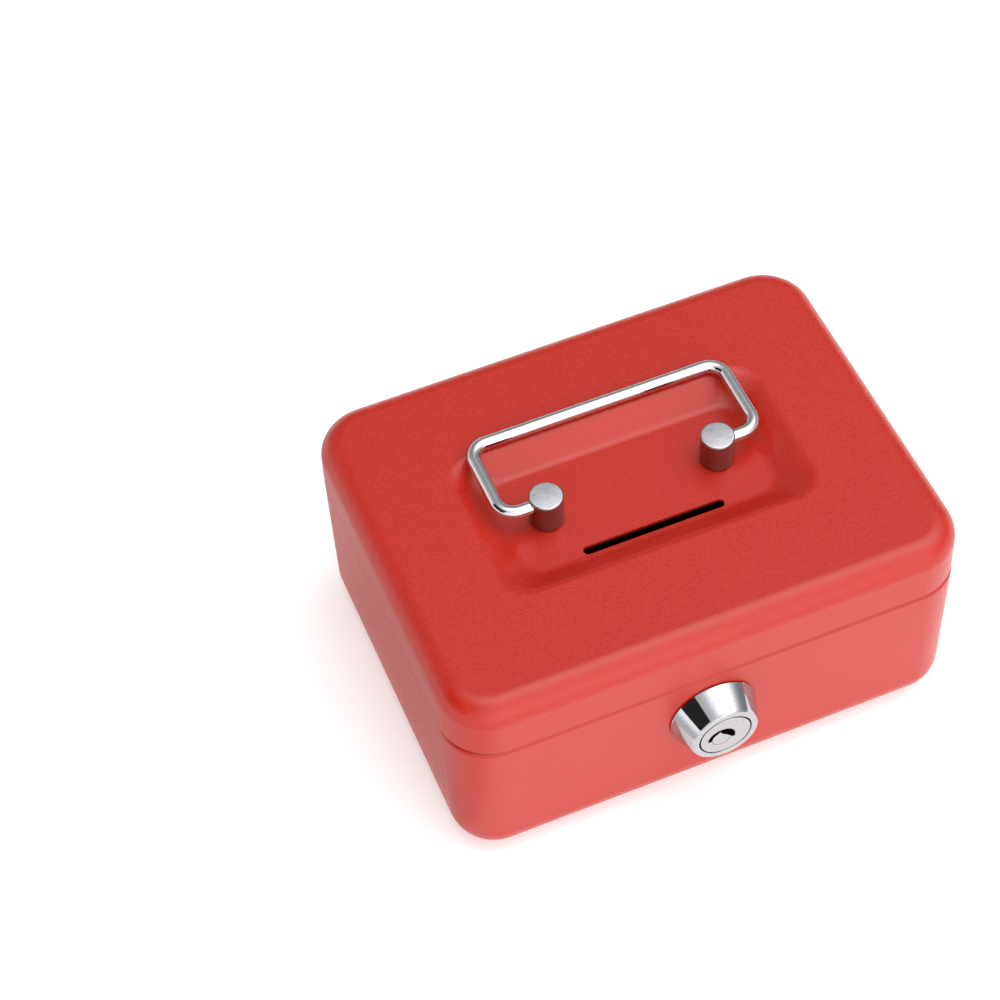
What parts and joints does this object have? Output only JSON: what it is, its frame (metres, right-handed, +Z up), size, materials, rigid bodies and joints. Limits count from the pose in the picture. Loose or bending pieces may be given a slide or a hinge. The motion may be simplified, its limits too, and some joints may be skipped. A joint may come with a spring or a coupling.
{
  "type": "cash box",
  "caption": "Small steel cash box with rounded corners, hinged lid, coin slot in a dished top, folding wire bail handle and a turning cam lock on the front.",
  "frame": {"origin": "centre of the box's flat underside, as it stands on a table; the middle of the tub, so the lock in front and the hinges behind don't shift it", "axes": "+Z up, front with the lock towards -Y, width along X"},
  "size_m": [0.1254, 0.1065, 0.0625],
  "materials": {
    "red_powder_coat": "fine textured semi-gloss powder coat",
    "chrome_plate": "polished",
    "zinc_plated_steel": "satin zinc plate",
    "brass": "satin"
  },
  "bodies": {
    "body": {"body_shell": "red_powder_coat", "hinge_leaf_body_left": "zinc_plated_steel", "hinge_leaf_body_right": "zinc_plated_steel", "hinge_pin_left": "zinc_plated_steel", "hinge_pin_right": "zinc_plated_steel", "body_rivet_left_1": "zinc_plated_steel", "body_rivet_left_2": "zinc_plated_steel", "body_rivet_right_1": "zinc_plated_steel", "body_rivet_right_2": "zinc_plated_steel", "lock_housing": "chrome_plate", "lock_washer": "zinc_plated_steel", "lock_nut": "zinc_plated_steel"},
    "lid": {"lid_shell": "red_powder_coat", "hinge_leaf_lid_left": "zinc_plated_steel", "hinge_leaf_lid_right": "zinc_plated_steel", "lid_rivet_left_1": "zinc_plated_steel", "lid_rivet_left_2": "zinc_plated_steel", "lid_rivet_right_1": "zinc_plated_steel", "lid_rivet_right_2": "zinc_plated_steel", "lid_catch": "zinc_plated_steel", "handle_post_left": "chrome_plate", "handle_post_right": "chrome_plate", "post_washer_left": "zinc_plated_steel", "post_washer_right": "zinc_plated_steel", "post_screw_left": "zinc_plated_steel", "post_screw_right": "zinc_plated_steel"},
    "handle": {"handle_bail": "chrome_plate"},
    "lock": {"lock_plug": "chrome_plate", "tumbler_disc_1": "brass", "tumbler_disc_2": "brass", "tumbler_disc_3": "brass", "tumbler_disc_4": "brass", "tumbler_disc_5": "brass", "locking_bar": "brass", "lock_cam": "zinc_plated_steel", "cam_washer": "zinc_plated_steel", "cam_screw": "zinc_plated_steel"}
  },
  "joints": [
    {"name": "lid_hinge", "type": "hinge", "parent": "body", "child": "lid", "pos_m": [0, 0.0501, 0.0436], "axis": [-1, 0, 0], "range_deg": [0, 100]},
    {"name": "handle_swing", "type": "hinge", "parent": "lid", "child": "handle", "pos_m": [0, 0, 0.0602], "axis": [1, 0, 0], "range_deg": [0, 180]},
    {"name": "lock_turn", "type": "hinge", "parent": "body", "child": "lock", "pos_m": [-0.0014, -0.0544, 0.028], "axis": [0, 1, 0], "range_deg": [0, 90]}
  ]
}
